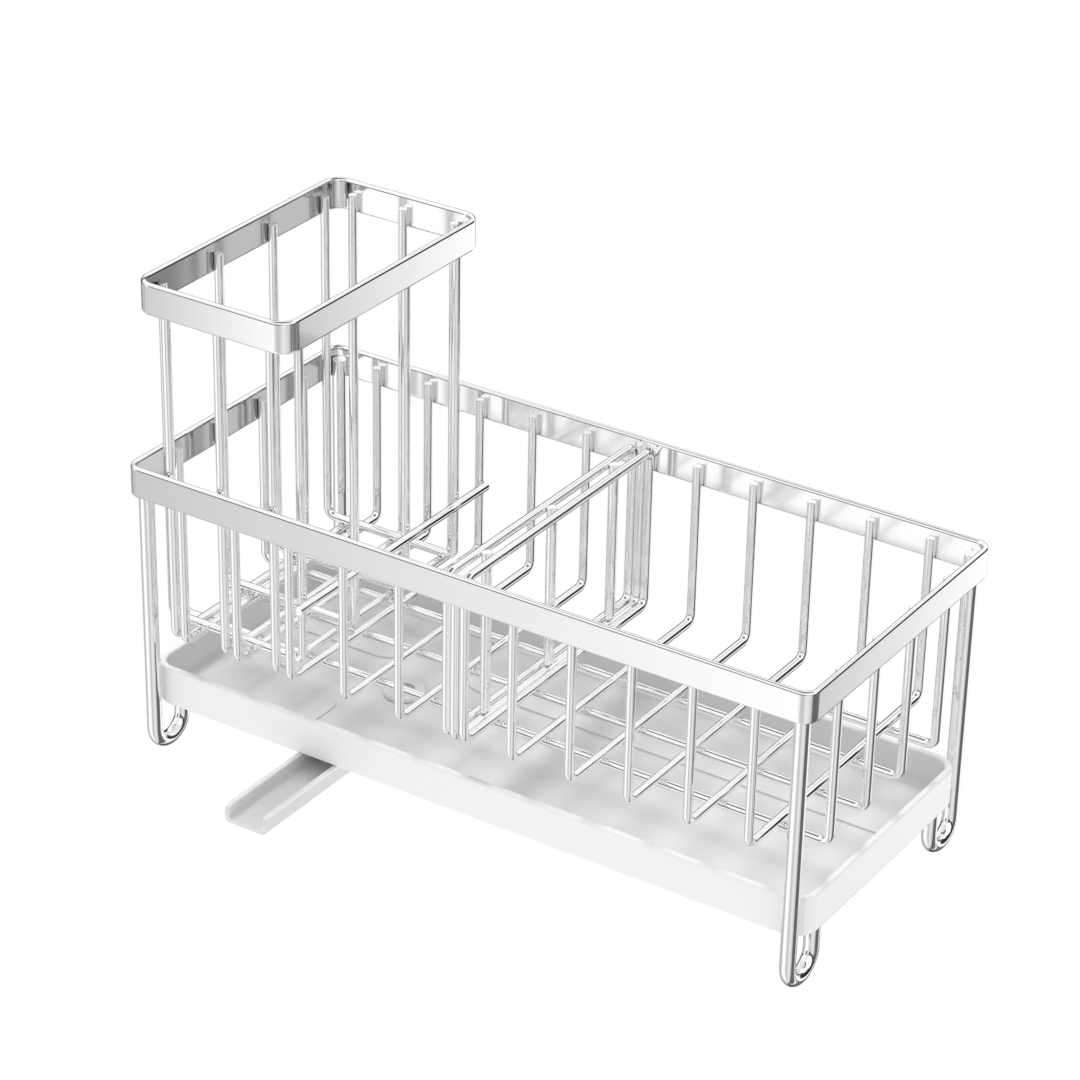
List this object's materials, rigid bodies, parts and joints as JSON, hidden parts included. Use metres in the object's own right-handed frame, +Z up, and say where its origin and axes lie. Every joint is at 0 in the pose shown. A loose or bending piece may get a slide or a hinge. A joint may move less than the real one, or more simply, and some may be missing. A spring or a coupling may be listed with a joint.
{
  "type": "kitchen sink caddy",
  "caption": "Wire sink caddy with flat-bar rims, a lift-out brush basket and divider, and a drip tray with a swivelling drain spout.",
  "frame": {"origin": "on the counter plane, in the middle of the four feet", "axes": "+X along the rack away from the brush basket, +Y to the back, +Z up; the drain spout points to the front, -Y"},
  "size_m": [0.25, 0.143, 0.1721],
  "materials": {
    "rack_steel": "polished stainless steel",
    "divider_steel": "polished stainless steel",
    "brush_basket_steel": "polished stainless steel",
    "tray_plastic": "satin white",
    "spout_plastic": "satin white"
  },
  "bodies": {
    "rack": {"rack_rim_band": "rack_steel", "cross_wire_01": "rack_steel", "cross_wire_02": "rack_steel", "cross_wire_03": "rack_steel", "cross_wire_04": "rack_steel", "cross_wire_05": "rack_steel", "cross_wire_06": "rack_steel", "cross_wire_07": "rack_steel", "cross_wire_08": "rack_steel", "cross_wire_09": "rack_steel", "cross_wire_10": "rack_steel", "cross_wire_11": "rack_steel", "long_wire_1": "rack_steel", "long_wire_2": "rack_steel", "long_wire_3": "rack_steel", "long_wire_4": "rack_steel", "leg_front_left": "rack_steel", "leg_front_right": "rack_steel", "leg_rear_left": "rack_steel", "leg_rear_right": "rack_steel", "brush_bay_guard_bar": "rack_steel"},
    "divider": {"divider_loop_left": "divider_steel", "divider_loop_right": "divider_steel", "divider_upright_front": "divider_steel", "divider_upright_middle": "divider_steel", "divider_upright_rear": "divider_steel"},
    "brush_basket": {"brush_rim_band": "brush_basket_steel", "brush_cross_wire_1": "brush_basket_steel", "brush_cross_wire_2": "brush_basket_steel", "brush_cross_wire_3": "brush_basket_steel", "brush_long_wire_1": "brush_basket_steel", "brush_long_wire_2": "brush_basket_steel", "brush_long_wire_3": "brush_basket_steel", "brush_long_wire_4": "brush_basket_steel"},
    "tray": {"drip_tray": "tray_plastic"},
    "spout": {"drain_spout": "spout_plastic", "drain_collar": "spout_plastic"}
  },
  "joints": [
    {"name": "brush_basket_lift", "type": "slide", "parent": "rack", "child": "brush_basket", "axis": [0, 0, 1], "range_m": [0, 0.07]},
    {"name": "divider_lift", "type": "slide", "parent": "rack", "child": "divider", "axis": [0, 0, 1], "range_m": [0, 0.065]},
    {"name": "tray_slide", "type": "slide", "parent": "rack", "child": "tray", "axis": [1, 0, 0], "range_m": [0, 0.12]},
    {"name": "spout_swivel", "type": "hinge", "parent": "tray", "child": "spout", "pos_m": [-0.0563, 0, 0.0176], "axis": [0, 0, 1], "range_deg": [-35, 35]}
  ]
}
